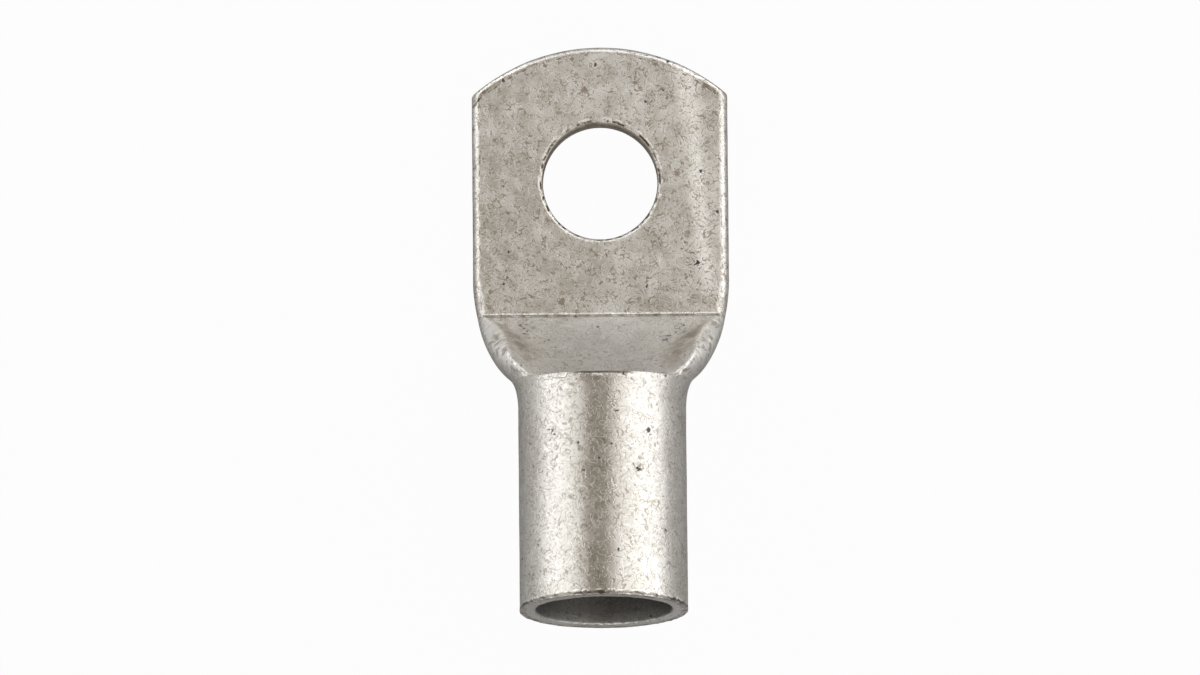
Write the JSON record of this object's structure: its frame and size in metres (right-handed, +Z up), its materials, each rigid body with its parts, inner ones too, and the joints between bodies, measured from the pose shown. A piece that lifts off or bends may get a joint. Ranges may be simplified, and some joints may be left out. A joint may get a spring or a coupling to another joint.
{
  "type": "tubular cable lug",
  "caption": "Tinned copper tube lug with a round crimp barrel for a stranded conductor and a flat palm with a bolt hole.",
  "frame": {"origin": "centre of the bolt hole on the palm's seating face", "axes": "+Y from the barrel's mouth towards the palm's tip, parallel to the barrel's axis; +Z up, out of the palm's front; the lug lies on its back"},
  "size_m": [0.019, 0.0432, 0.0124],
  "materials": {
    "tinned_copper": "dull bright tin over copper, finely scratched and pitted"
  },
  "bodies": {
    "root": {"cable_lug": "tinned_copper"}
  },
  "joints": []
}
